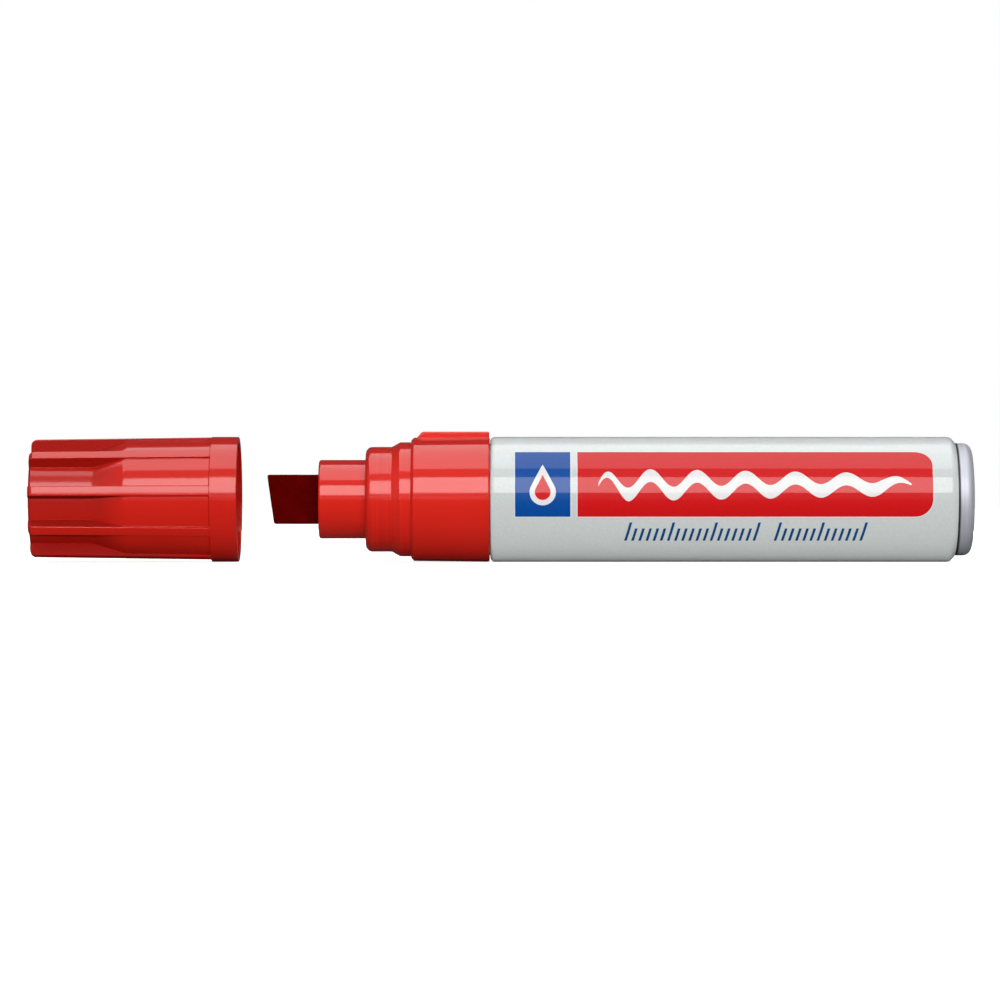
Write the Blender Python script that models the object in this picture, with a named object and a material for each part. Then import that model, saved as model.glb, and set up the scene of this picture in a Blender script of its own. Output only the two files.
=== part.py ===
"""A jumbo permanent marker with a chisel nib, uncapped, lying on its side with its cap pulled off in line.

The pen's axis runs along X, with the cap's closed end at -X and the barrel's base at +X, and the anti-roll
lug on top. Stations are distances along the axis from the collar's front shoulder, positive to the rear.
The origin is under the middle of the whole object, on the surface that it lies on.
"""

import math

import bmesh
import bpy
from mathutils import Matrix, Vector

MM = 0.001

# Fits between pieces
SNUG_GAP = 0.1 * MM  # round each piece that seats in another
FACE_GAP = 0.1 * MM  # between faces that rest on each other
NIB_FIT = 0.15 * MM  # round the nib, in its slot
CORE_FIT = 0.3 * MM  # round the nib's tail, in the fibre
SEAL_FIT = 0.05 * MM  # the liner's lip on the nose

# Barrel, a closed can
BARREL_RADIUS = 12.0 * MM
BARREL_LENGTH = 89.15 * MM
BARREL_WALL = 0.55 * MM
BARREL_LIP_RADIUS = 0.9 * MM  # the front edge, rolled in over the housing's neck
SHOULDER_LENGTH = 1.0 * MM
SHOULDER_DROP = 1.05 * MM
SHOULDER_KNEE_LENGTH = 0.3 * MM  # where the shoulder turns steeper
SHOULDER_KNEE_DROP = 0.4 * MM
BASE_STEP = 0.15 * MM
BASE_LENGTH = 3.2 * MM
BASE_EDGE_RADIUS = 1.6 * MM

# Front housing
COLLAR_LENGTH = 15.05 * MM
COLLAR_TAPER = 0.15 * MM
COLLAR_FRONT_CHAMFER = 0.5 * MM
COLLAR_REAR_ROUND = 0.35 * MM
REAR_RING_LENGTH = 2.15 * MM
RING_SLOPE_LENGTH = 1.6 * MM
RING_STEP = 0.9 * MM
FRONT_RING_LENGTH = 5.0 * MM
FRONT_RING_ROUND = 1.0 * MM
NOSE_LENGTH = 9.0 * MM
NOSE_WALL = 1.4 * MM
NOSE_FRONT_WALL = 1.2 * MM
NOSE_ROUND = 0.3 * MM
RING_WALL = 1.2 * MM
NECK_LENGTH = 1.3 * MM
SPIGOT_LENGTH = 10.4 * MM
SPIGOT_WALL = 0.95 * MM
SPIGOT_CHAMFER = 0.3 * MM
RESERVOIR_LEDGE = 0.65 * MM
LUG_WIDTH = 3.4 * MM
LUG_HEIGHT = 1.0 * MM
LUG_FRONT_SETBACK = 1.1 * MM
LUG_REAR_SETBACK = 0.1 * MM
LUG_TOP_BEVEL = 0.25 * MM
LUG_ROOT = 0.35 * MM  # how deep it is sunk in the collar, clear of the seal's groove

# Nib, a flat bar with a slanted front edge and a narrower tail
NIB_HEIGHT = 9.5 * MM
NIB_THICKNESS = 5.0 * MM
NIB_EXPOSED = 9.95 * MM
NIB_SLANT = 1.35 * MM
NIB_EDGE_ROUND = 0.6 * MM
NIB_TIP_ROUND = 0.35 * MM
NIB_SHOULDER_STEP = 0.7 * MM
NIB_TAIL_IN_CORE = 6.5 * MM

# Nib holder
HOLDER_WALL = 0.55 * MM
HOLDER_REAR_WALL = 5.0 * MM
HOLDER_FLANGE_LENGTH = 1.5 * MM
HOLDER_VENT_WIDTH = 2.2 * MM
HOLDER_VENT_DEPTH = 2.0 * MM

# Sealing ring, in a groove in the collar's rear face
SEALING_RING_THICKNESS = 0.3 * MM
SEALING_RING_INSET = 0.7 * MM

# Reservoir
RESERVOIR_INSET = 3.45 * MM  # how far its front lies inside the collar
WRAP_THICKNESS = 0.25 * MM
STRIP_RADIUS = 0.6 * MM
STRIP_CHANNEL_WIDTH = 1.7 * MM

# Rear spacer
SPACER_LENGTH = 11.15 * MM
SPACER_WALL = 1.2 * MM
SPACER_VENT_RADIUS = 1.4 * MM
SPACER_VENT_OFFSET = 5.0 * MM
SPACER_VENTS = 4

# Cap
CAP_LENGTH = 39.9 * MM
CAP_PULLED_OFF = 33.1 * MM  # how far its mouth lies ahead of the collar's shoulder
CAP_SKIRT_LENGTH = 5.2 * MM
CAP_SKIRT_WALL = 0.93 * MM
CAP_SKIRT_STEP = 0.1 * MM
CAP_DRAFT = 0.45 * MM
CAP_END_RADIUS = 1.1 * MM
CAP_END_WALL = 1.5 * MM
CAP_WALL = 1.35 * MM
CAP_PANEL_DEPTH = 0.4 * MM
CAP_MOUTH_CHAMFER = 0.25 * MM
RIDGES = 9
RIDGE_WIDTH = 1.9 * MM
RIDGE_FLANK_DEG = 2.6
RIDGE_PHASE_DEG = 8.0  # the ridge nearest to -Y, measured up from it
FLUTE_LENGTH = 12.0 * MM
FLUTE_RAMP_LENGTH = 6.5 * MM

# Cap liner
LINER_WALL = 0.9 * MM
NOSE_END_GAP = 0.4 * MM  # ahead of the nose, with the cap on
NIB_CLEARANCE = 1.5 * MM

# Facets
VISIBLE_SEGMENTS = 48
INNER_SEGMENTS = 40
STRIP_SEGMENTS = 8
VENT_SEGMENTS = 8
ARC_STEPS = 3
SHARP_ANGLE = math.radians(35)
MERGE_DISTANCE = 1e-7
CUT_OVERSHOOT = 1.0 * MM

# Radii that follow from the fits, from the nib outwards
NIB_CORNER_RADIUS = math.hypot(NIB_HEIGHT / 2, NIB_THICKNESS / 2)
HOLDER_RADIUS = NIB_CORNER_RADIUS + NIB_FIT + HOLDER_WALL
NOSE_BORE = HOLDER_RADIUS + SNUG_GAP
NOSE_RADIUS = NOSE_BORE + NOSE_WALL
LINER_LIP_BORE = NOSE_RADIUS + SEAL_FIT
LINER_LIP_RADIUS = LINER_LIP_BORE + LINER_WALL
LINER_BORE = NIB_CORNER_RADIUS + NIB_CLEARANCE
LINER_RADIUS = LINER_BORE + LINER_WALL
FLUTE_RADIUS = LINER_RADIUS + SNUG_GAP + CAP_WALL

# Radii that follow from the fits, from the barrel inwards
BARREL_BORE = BARREL_RADIUS - BARREL_WALL
LIP_BORE = BARREL_RADIUS - BARREL_LIP_RADIUS - BARREL_WALL / 2
BASE_RADIUS = BARREL_RADIUS - SHOULDER_DROP - BASE_STEP
BASE_BORE = BASE_RADIUS - BARREL_WALL
SPIGOT_RADIUS = BARREL_BORE - SNUG_GAP
SPIGOT_BORE = SPIGOT_RADIUS - SPIGOT_WALL
NECK_RADIUS = LIP_BORE - SNUG_GAP
COLLAR_BORE = SPIGOT_BORE - RESERVOIR_LEDGE
CAP_SKIRT_BORE = BARREL_RADIUS - CAP_SKIRT_WALL
SEALING_RING_RADIUS = BARREL_RADIUS - SEALING_RING_INSET
REAR_RING_RADIUS = CAP_SKIRT_BORE - SNUG_GAP
FRONT_RING_RADIUS = REAR_RING_RADIUS - RING_STEP
FRONT_RING_BORE = FRONT_RING_RADIUS - RING_WALL
CAP_RING_BORE = FRONT_RING_RADIUS + SNUG_GAP
WRAP_RADIUS = SPIGOT_BORE - SNUG_GAP
WRAP_BORE = WRAP_RADIUS - WRAP_THICKNESS
CORE_RADIUS = WRAP_BORE - SNUG_GAP
SPACER_RADIUS = BASE_BORE - SNUG_GAP
RIDGE_RADIUS = BARREL_RADIUS - CAP_SKIRT_STEP

# Stations
REAR_RING_FRONT = -REAR_RING_LENGTH
FRONT_RING_REAR = REAR_RING_FRONT - RING_SLOPE_LENGTH
FRONT_RING_FRONT = FRONT_RING_REAR - FRONT_RING_LENGTH
NOSE_FRONT = FRONT_RING_FRONT - NOSE_LENGTH
NIB_TIP = NOSE_FRONT - NIB_EXPOSED
BARREL_FRONT = COLLAR_LENGTH + FACE_GAP
BARREL_SHOULDER = BARREL_FRONT + BARREL_LENGTH
BASE_END = BARREL_SHOULDER + BASE_LENGTH
BASE_FLOOR = BASE_END - BARREL_WALL
SEAL_SEAT = COLLAR_LENGTH - SEALING_RING_THICKNESS - FACE_GAP
SPIGOT_FRONT = COLLAR_LENGTH + NECK_LENGTH
SPIGOT_REAR = SPIGOT_FRONT + SPIGOT_LENGTH
SPACER_REAR = BASE_FLOOR - FACE_GAP
SPACER_FRONT = SPACER_REAR - SPACER_LENGTH
RESERVOIR_FRONT = COLLAR_LENGTH - RESERVOIR_INSET
RESERVOIR_REAR = SPACER_FRONT - FACE_GAP
LEDGE = RESERVOIR_FRONT - FACE_GAP
HOLDER_FRONT = NOSE_FRONT + NOSE_FRONT_WALL + FACE_GAP
HOLDER_REAR = LEDGE - FACE_GAP
NIB_SEAT = HOLDER_REAR - HOLDER_REAR_WALL
NIB_SHOULDER = NIB_SEAT - FACE_GAP
NIB_TAIL_END = RESERVOIR_FRONT + NIB_TAIL_IN_CORE
CAP_MOUTH = -CAP_PULLED_OFF
CAP_END = CAP_MOUTH - CAP_LENGTH
LINER_SEAT = CAP_MOUTH + FRONT_RING_FRONT - FACE_GAP
LINER_STEP = LINER_SEAT - NOSE_LENGTH - LINER_WALL - NOSE_END_GAP  # from its lip to the nib's chamber

# Origin
AXIS_HEIGHT = BARREL_RADIUS
SHOULDER_X = -(CAP_END + BASE_END) / 2


def remove_everything():
    for item in list(bpy.data.objects):
        bpy.data.objects.remove(item, do_unlink=True)


def principled(name, colour, roughness, metallic=0.0):
    material = bpy.data.materials.new(name)
    material.use_nodes = True
    shader = material.node_tree.nodes["Principled BSDF"]
    shader.inputs["Base Color"].default_value = (*colour, 1.0)
    shader.inputs["Roughness"].default_value = roughness
    shader.inputs["Metallic"].default_value = metallic
    return material


def axis_empty(name, station):
    """A frame on the pen's axis, which a body's pieces are parented to."""
    empty = bpy.data.objects.new(name, None)
    empty.location = (SHOULDER_X + station, 0, AXIS_HEIGHT)
    bpy.context.scene.collection.objects.link(empty)
    return empty


def place(name, bm, frame, material=None):
    """Makes an object of bm, whose coordinates are stations and distances from the axis."""
    bmesh.ops.recalc_face_normals(bm, faces=bm.faces)
    mesh = bpy.data.meshes.new(name)
    bm.to_mesh(mesh)
    bm.free()
    mesh.shade_smooth()
    mesh.set_sharp_from_angle(angle=SHARP_ANGLE)
    piece = bpy.data.objects.new(name, mesh)
    bpy.context.scene.collection.objects.link(piece)
    piece.parent = frame
    piece.location = (SHOULDER_X - frame.location.x, 0, 0)
    if material:
        mesh.materials.append(material)
    return piece


def arc(station, radius, size, start_deg, end_deg, steps=ARC_STEPS):
    """Points of a round of the given size about (station, radius). 0 degrees is +X and 90 is outwards."""
    points = []
    for i in range(steps + 1):
        angle = math.radians(start_deg + (end_deg - start_deg) * i / steps)
        points.append((station + size * math.cos(angle), radius + size * math.sin(angle)))
    return points


def turned(profile, segments=VISIBLE_SEGMENTS):
    """A body of revolution about the axis. profile is its outline as (station, radius), closed by itself or
    on the axis. A flat, and not an edge, faces straight down."""
    bm = bmesh.new()
    start = Matrix.Rotation(math.pi / segments, 3, "X")
    verts = [bm.verts.new(start @ Vector((station, 0, radius))) for station, radius in profile]
    closed_on_axis = profile[0][1] == 0 and profile[-1][1] == 0
    following = verts[1:] if closed_on_axis else verts[1:] + verts[:1]
    edges = [bm.edges.new(pair) for pair in zip(verts, following)]
    bmesh.ops.spin(
        bm, geom=verts + edges, cent=(0, 0, 0), axis=(1, 0, 0), angle=math.tau, steps=segments, use_merge=True
    )
    bmesh.ops.remove_doubles(bm, verts=bm.verts, dist=MERGE_DISTANCE)
    return bm


def lofted(rings):
    """A body through rings of as many points each, closed by a flat face on the first and on the last."""
    bm = bmesh.new()
    loops = [[bm.verts.new(point) for point in ring] for ring in rings]
    for near, far in zip(loops, loops[1:]):
        for i, vert in enumerate(near):
            j = (i + 1) % len(near)
            bm.faces.new((vert, near[j], far[j], far[i]))
    bm.faces.new(loops[0])
    bm.faces.new(loops[-1])
    return bm


def block(x_range, y_range, z_range):
    """A box between two stations and two distances each way from the axis."""
    bm = bmesh.new()
    size = [high - low for low, high in (x_range, y_range, z_range)]
    middle = [(high + low) / 2 for low, high in (x_range, y_range, z_range)]
    bmesh.ops.create_cube(bm, size=1.0, matrix=Matrix.Translation(middle) @ Matrix.Diagonal((*size, 1.0)))
    return bm


def slot(front, rear, height, thickness):
    """A box for the nib's slot, centred on the axis."""
    return block((front, rear), (-thickness / 2, thickness / 2), (-height / 2, height / 2))


def combine(piece, tool_bm, operation):
    """Cuts or joins a tool's shape, by a Boolean that stays on the piece."""
    index = len(piece.modifiers) + 1
    tool = place(f"{piece.name}_tool_{index}", tool_bm, piece.parent)
    tool.hide_render = True
    tool.display_type = "WIRE"
    modifier = piece.modifiers.new(f"{operation.lower()}_{index}", "BOOLEAN")
    modifier.operation = operation
    modifier.object = tool
    modifier.solver = "EXACT"


def rounded_rectangle(station, height, thickness, corner, lean=0.0):
    """A ring across the axis. lean is how much further back its bottom lies than its top."""
    points = []
    for quarter, (side_y, side_z) in enumerate(((1, 1), (-1, 1), (-1, -1), (1, -1))):
        for i in range(ARC_STEPS):
            angle = math.radians(90 * quarter + 90 * i / (ARC_STEPS - 1))
            y = side_y * (thickness / 2 - corner) + corner * math.cos(angle)
            z = side_z * (height / 2 - corner) + corner * math.sin(angle)
            points.append(Vector((station + lean * (0.5 - z / height), y, z)))
    return points


def make_barrel(frame, material):
    """The can: rolled lip, straight wall, shoulder and stepped base, all of one wall thickness."""
    lip_centre = BARREL_FRONT + BARREL_LIP_RADIUS
    outside = arc(lip_centre, BARREL_RADIUS - BARREL_LIP_RADIUS, BARREL_LIP_RADIUS, 180, 90)
    outside += [
        (BARREL_SHOULDER - SHOULDER_LENGTH, BARREL_RADIUS),
        (BARREL_SHOULDER - SHOULDER_KNEE_LENGTH, BARREL_RADIUS - SHOULDER_KNEE_DROP),
        (BARREL_SHOULDER, BARREL_RADIUS - SHOULDER_DROP),
        (BARREL_SHOULDER, BASE_RADIUS),
    ]
    outside += arc(BASE_END - BASE_EDGE_RADIUS, BASE_RADIUS - BASE_EDGE_RADIUS, BASE_EDGE_RADIUS, 90, 0)
    outside.append((BASE_END, 0))
    inner_edge = BASE_EDGE_RADIUS - BARREL_WALL
    inside = [(BASE_FLOOR, 0)]
    inside += arc(BASE_FLOOR - inner_edge, BASE_BORE - inner_edge, inner_edge, 0, 90)
    inside += [
        (BARREL_SHOULDER - SHOULDER_LENGTH - BARREL_WALL, BASE_BORE),
        (BARREL_SHOULDER - SHOULDER_LENGTH - SHOULDER_DROP - BARREL_WALL, BARREL_BORE),
        (lip_centre + BARREL_WALL, BARREL_BORE),
        (BARREL_FRONT, LIP_BORE),
    ]
    place("barrel", turned(outside + inside), frame, material)


def make_front_housing(frame, material):
    """Nose, two rings, collar, neck and spigot, bored for holder and reservoir, with the lug on top."""
    outside = arc(NOSE_FRONT + NOSE_ROUND, NOSE_RADIUS - NOSE_ROUND, NOSE_ROUND, 180, 90, 2)
    outside.append((FRONT_RING_FRONT, NOSE_RADIUS))
    outside += arc(
        FRONT_RING_FRONT + FRONT_RING_ROUND, FRONT_RING_RADIUS - FRONT_RING_ROUND, FRONT_RING_ROUND, 180, 90
    )
    outside += [
        (FRONT_RING_REAR, FRONT_RING_RADIUS),
        (REAR_RING_FRONT, REAR_RING_RADIUS),
        (0, REAR_RING_RADIUS),
        (0, BARREL_RADIUS - COLLAR_TAPER - COLLAR_FRONT_CHAMFER),
        (COLLAR_FRONT_CHAMFER, BARREL_RADIUS - COLLAR_TAPER),
        (COLLAR_LENGTH - COLLAR_REAR_ROUND, BARREL_RADIUS),
        (COLLAR_LENGTH, BARREL_RADIUS - COLLAR_REAR_ROUND),
        (COLLAR_LENGTH, SEALING_RING_RADIUS + SNUG_GAP),
        (SEAL_SEAT, SEALING_RING_RADIUS + SNUG_GAP),
        (SEAL_SEAT, NECK_RADIUS),
        (SPIGOT_FRONT, NECK_RADIUS),
        (SPIGOT_FRONT + SPIGOT_CHAMFER, SPIGOT_RADIUS),
        (SPIGOT_REAR - SPIGOT_CHAMFER, SPIGOT_RADIUS),
        (SPIGOT_REAR, SPIGOT_RADIUS - SPIGOT_CHAMFER),
        (SPIGOT_REAR, SPIGOT_BORE),
    ]
    inside = [
        (LEDGE, SPIGOT_BORE),
        (LEDGE, COLLAR_BORE),
        (0, COLLAR_BORE),
        (REAR_RING_FRONT, FRONT_RING_BORE),
        (FRONT_RING_FRONT + RING_WALL, FRONT_RING_BORE),
        (FRONT_RING_FRONT + RING_WALL, NOSE_BORE),
        (NOSE_FRONT + NOSE_FRONT_WALL, NOSE_BORE),
        (NOSE_FRONT + NOSE_FRONT_WALL, 0),
    ]
    profile = [(NOSE_FRONT, 0)] + outside + inside
    housing = place("front_housing", turned(profile), frame, material)
    nib_mouth = slot(
        NOSE_FRONT - CUT_OVERSHOOT,
        NOSE_FRONT + NOSE_FRONT_WALL + CUT_OVERSHOOT,
        NIB_HEIGHT + 2 * NIB_FIT,
        NIB_THICKNESS + 2 * NIB_FIT,
    )
    combine(housing, nib_mouth, "DIFFERENCE")
    combine(housing, lug(), "UNION")


def lug():
    """The anti-roll lug: a bar along the top of the collar, with a sloped front and bevelled top edges."""
    front = LUG_FRONT_SETBACK
    rear = COLLAR_LENGTH - LUG_REAR_SETBACK
    top = BARREL_RADIUS + LUG_HEIGHT
    foot = BARREL_RADIUS - COLLAR_TAPER - LUG_ROOT
    outline = [
        (front, foot),
        (front, top - LUG_HEIGHT - COLLAR_TAPER),
        (front + LUG_HEIGHT, top),
        (rear, top),
        (rear, foot),
    ]
    half = LUG_WIDTH / 2
    bevel = LUG_TOP_BEVEL
    rings = []
    for y, drop in ((-half, bevel), (-half + bevel, 0), (half - bevel, 0), (half, bevel)):
        rings.append([Vector((station, y, min(height, top - drop))) for station, height in outline])
    return lofted(rings)


def make_nib(frame, material):
    """The chisel nib: rounded bar with a slanted front edge, a shoulder, and the tail that draws the ink."""
    tail_height = NIB_HEIGHT - 2 * NIB_SHOULDER_STEP
    tail_thickness = NIB_THICKNESS - 2 * NIB_SHOULDER_STEP
    tip = NIB_TIP_ROUND
    rings = [
        rounded_rectangle(NIB_TIP, NIB_HEIGHT - 2 * tip, NIB_THICKNESS - 2 * tip, NIB_EDGE_ROUND, NIB_SLANT),
        rounded_rectangle(NIB_TIP + tip, NIB_HEIGHT, NIB_THICKNESS, NIB_EDGE_ROUND, NIB_SLANT),
        rounded_rectangle(NIB_SHOULDER, NIB_HEIGHT, NIB_THICKNESS, NIB_EDGE_ROUND),
        rounded_rectangle(NIB_SHOULDER, tail_height, tail_thickness, NIB_EDGE_ROUND),
        rounded_rectangle(NIB_TAIL_END, tail_height, tail_thickness, NIB_EDGE_ROUND),
    ]
    place("nib", lofted(rings), frame, material)


def make_nib_holder(frame, material):
    """A sleeve in the nose, with a flange in the collar against the reservoir, and vents past the flange."""
    flange_radius = COLLAR_BORE - SNUG_GAP
    profile = [
        (HOLDER_FRONT, 0),
        (HOLDER_FRONT, HOLDER_RADIUS),
        (HOLDER_REAR - HOLDER_FLANGE_LENGTH, HOLDER_RADIUS),
        (HOLDER_REAR - HOLDER_FLANGE_LENGTH, flange_radius),
        (HOLDER_REAR, flange_radius),
        (HOLDER_REAR, 0),
    ]
    holder = place("nib_holder", turned(profile, INNER_SEGMENTS), frame, material)
    bar_slot = slot(
        HOLDER_FRONT - CUT_OVERSHOOT,
        NIB_SEAT,
        NIB_HEIGHT + 2 * NIB_FIT,
        NIB_THICKNESS + 2 * NIB_FIT,
    )
    combine(holder, bar_slot, "DIFFERENCE")
    tail_slot = slot(
        NIB_SEAT - CUT_OVERSHOOT,
        HOLDER_REAR + CUT_OVERSHOOT,
        NIB_HEIGHT - 2 * NIB_SHOULDER_STEP + 2 * NIB_FIT,
        NIB_THICKNESS - 2 * NIB_SHOULDER_STEP + 2 * NIB_FIT,
    )
    combine(holder, tail_slot, "DIFFERENCE")
    for side in (-1, 1):
        reach = sorted((side * (flange_radius - HOLDER_VENT_DEPTH), side * (flange_radius + CUT_OVERSHOOT)))
        vent_x = (HOLDER_REAR - HOLDER_FLANGE_LENGTH - CUT_OVERSHOOT, HOLDER_REAR + CUT_OVERSHOOT)
        vent_z = (-HOLDER_VENT_WIDTH / 2, HOLDER_VENT_WIDTH / 2)
        combine(holder, block(vent_x, reach, vent_z), "DIFFERENCE")
        combine(holder, block(vent_x, vent_z, reach), "DIFFERENCE")


def make_sealing_ring(frame, material):
    """The flat ring in the collar's rear groove, which the barrel's lip presses on."""
    front = SEAL_SEAT + FACE_GAP
    rear = front + SEALING_RING_THICKNESS
    inner = NECK_RADIUS + SNUG_GAP
    outer = SEALING_RING_RADIUS
    profile = [(front, inner), (front, outer), (rear, outer), (rear, inner)]
    place("sealing_ring", turned(profile), frame, material)


def make_reservoir(frame, fibre, film, plastic):
    """The fibre core in its film wrap, with the nib's tail and the breather strip let into it."""
    profile = [
        (RESERVOIR_FRONT, 0),
        (RESERVOIR_FRONT, CORE_RADIUS),
        (RESERVOIR_REAR, CORE_RADIUS),
        (RESERVOIR_REAR, 0),
    ]
    core = place("reservoir_core", turned(profile, INNER_SEGMENTS), frame, fibre)
    pocket = slot(
        RESERVOIR_FRONT - CUT_OVERSHOOT,
        NIB_TAIL_END + CORE_FIT,
        NIB_HEIGHT - 2 * NIB_SHOULDER_STEP + 2 * CORE_FIT,
        NIB_THICKNESS - 2 * NIB_SHOULDER_STEP + 2 * CORE_FIT,
    )
    combine(core, pocket, "DIFFERENCE")
    channel_floor = CORE_RADIUS - STRIP_CHANNEL_WIDTH
    channel = block(
        (RESERVOIR_FRONT - CUT_OVERSHOOT, RESERVOIR_REAR + CUT_OVERSHOOT),
        (-STRIP_CHANNEL_WIDTH / 2, STRIP_CHANNEL_WIDTH / 2),
        (-CORE_RADIUS - CUT_OVERSHOOT, -channel_floor),
    )
    combine(core, channel, "DIFFERENCE")

    wrap_profile = [
        (RESERVOIR_FRONT, WRAP_BORE),
        (RESERVOIR_FRONT, WRAP_RADIUS),
        (RESERVOIR_REAR, WRAP_RADIUS),
        (RESERVOIR_REAR, WRAP_BORE),
    ]
    place("reservoir_wrap", turned(wrap_profile, INNER_SEGMENTS), frame, film)

    strip_depth = CORE_RADIUS - STRIP_CHANNEL_WIDTH / 2
    strip_profile = [
        (RESERVOIR_FRONT, 0),
        (RESERVOIR_FRONT, STRIP_RADIUS),
        (RESERVOIR_REAR, STRIP_RADIUS),
        (RESERVOIR_REAR, 0),
    ]
    strip_bm = turned(strip_profile, STRIP_SEGMENTS)
    bmesh.ops.translate(strip_bm, verts=strip_bm.verts, vec=(0, 0, -strip_depth))
    place("breather_strip", strip_bm, frame, plastic)


def make_rear_spacer(frame, material):
    """A cup that holds the reservoir forward, open to the base and vented through its front wall."""
    edge = BASE_EDGE_RADIUS - BARREL_WALL
    wall_rear = SPACER_FRONT + SPACER_WALL
    profile = [
        (SPACER_FRONT, 0),
        (SPACER_FRONT, SPACER_RADIUS),
        (SPACER_REAR - edge, SPACER_RADIUS),
        (SPACER_REAR, SPACER_RADIUS - edge),
        (SPACER_REAR, SPACER_RADIUS - edge - SPACER_WALL / 2),
        (SPACER_REAR - edge, SPACER_RADIUS - SPACER_WALL),
        (wall_rear, SPACER_RADIUS - SPACER_WALL),
        (wall_rear, 0),
    ]
    spacer = place("rear_spacer", turned(profile, INNER_SEGMENTS), frame, material)
    vent_profile = [
        (SPACER_FRONT - CUT_OVERSHOOT, 0),
        (SPACER_FRONT - CUT_OVERSHOOT, SPACER_VENT_RADIUS),
        (wall_rear + CUT_OVERSHOOT, SPACER_VENT_RADIUS),
        (wall_rear + CUT_OVERSHOOT, 0),
    ]
    for i in range(SPACER_VENTS):
        vent = turned(vent_profile, VENT_SEGMENTS)
        bmesh.ops.translate(vent, verts=vent.verts, vec=(0, 0, SPACER_VENT_OFFSET))
        turn = Matrix.Rotation(math.tau * i / SPACER_VENTS, 3, "X")
        bmesh.ops.rotate(vent, verts=vent.verts, cent=(0, 0, 0), matrix=turn)
        combine(spacer, vent, "DIFFERENCE")


def cap_angles():
    """Where the cap's points lie round the axis: (radians from +Y, 1 on a ridge or 0 in a flute)."""
    pitch = 360 / RIDGES
    ridge_half = math.degrees(math.asin(RIDGE_WIDTH / 2 / RIDGE_RADIUS))
    foot = ridge_half + RIDGE_FLANK_DEG
    steps = ((-ridge_half, 1), (ridge_half, 1), (foot, 0), (pitch / 2, 0), (pitch - foot, 0))
    first = 180 - RIDGE_PHASE_DEG
    return [(math.radians(first + i * pitch + step), ridge) for i in range(RIDGES) for step, ridge in steps]


def cap_ring(station, ridge_radius, flute_radius):
    """One ring of the cap's points across the axis."""
    ring = []
    for angle, ridge in cap_angles():
        radius = ridge_radius if ridge else flute_radius
        ring.append(Vector((station, radius * math.cos(angle), radius * math.sin(angle))))
    return ring


def make_cap_shell(frame, material):
    """The cap: grip ridges with deep flutes that ramp out to shallow panels, and a plain skirt."""
    body_length = CAP_LENGTH - CAP_SKIRT_LENGTH
    end_slope = CAP_DRAFT / body_length

    def ridge_at(depth):
        return RIDGE_RADIUS - CAP_DRAFT + end_slope * depth

    end_round = arc(CAP_END + CAP_END_RADIUS, ridge_at(0) - CAP_END_RADIUS, CAP_END_RADIUS, 180, 90)
    rings = [cap_ring(station, limit, min(limit, FLUTE_RADIUS)) for station, limit in end_round]
    panel_start = FLUTE_LENGTH + FLUTE_RAMP_LENGTH
    for depth in (FLUTE_LENGTH, panel_start, body_length):
        ridge = ridge_at(depth)
        flute = FLUTE_RADIUS if depth == FLUTE_LENGTH else ridge - CAP_PANEL_DEPTH
        rings.append(cap_ring(CAP_END + depth, ridge, flute))
    for station, radius in (
        (CAP_END + body_length, BARREL_RADIUS),
        (CAP_MOUTH - CAP_MOUTH_CHAMFER, BARREL_RADIUS),
        (CAP_MOUTH, BARREL_RADIUS - CAP_MOUTH_CHAMFER),
        (CAP_MOUTH, CAP_SKIRT_BORE),
        (CAP_MOUTH + REAR_RING_FRONT, CAP_SKIRT_BORE),
        (CAP_MOUTH + FRONT_RING_REAR, CAP_RING_BORE),
        (LINER_SEAT, CAP_RING_BORE),
        (LINER_SEAT, LINER_LIP_RADIUS + SNUG_GAP),
        (LINER_STEP - FACE_GAP, LINER_LIP_RADIUS + SNUG_GAP),
        (LINER_STEP - FACE_GAP, LINER_RADIUS + SNUG_GAP),
        (CAP_END + CAP_END_WALL, LINER_RADIUS + SNUG_GAP),
    ):
        rings.append(cap_ring(station, radius, radius))
    place("cap_shell", lofted(rings), frame, material)


def make_cap_liner(frame, material):
    """The inner cap: a lip that fits the nose, and a closed chamber round the nib."""
    mouth = LINER_SEAT - FACE_GAP
    end = CAP_END + CAP_END_WALL + FACE_GAP
    profile = [
        (end, 0),
        (end, LINER_RADIUS),
        (LINER_STEP, LINER_RADIUS),
        (LINER_STEP, LINER_LIP_RADIUS),
        (mouth, LINER_LIP_RADIUS),
        (mouth, LINER_LIP_BORE),
        (LINER_STEP + LINER_WALL, LINER_LIP_BORE),
        (LINER_STEP + LINER_WALL, LINER_BORE),
        (end + LINER_WALL, LINER_BORE),
        (end + LINER_WALL, 0),
    ]
    place("cap_liner", turned(profile, INNER_SEGMENTS), frame, material)


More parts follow.
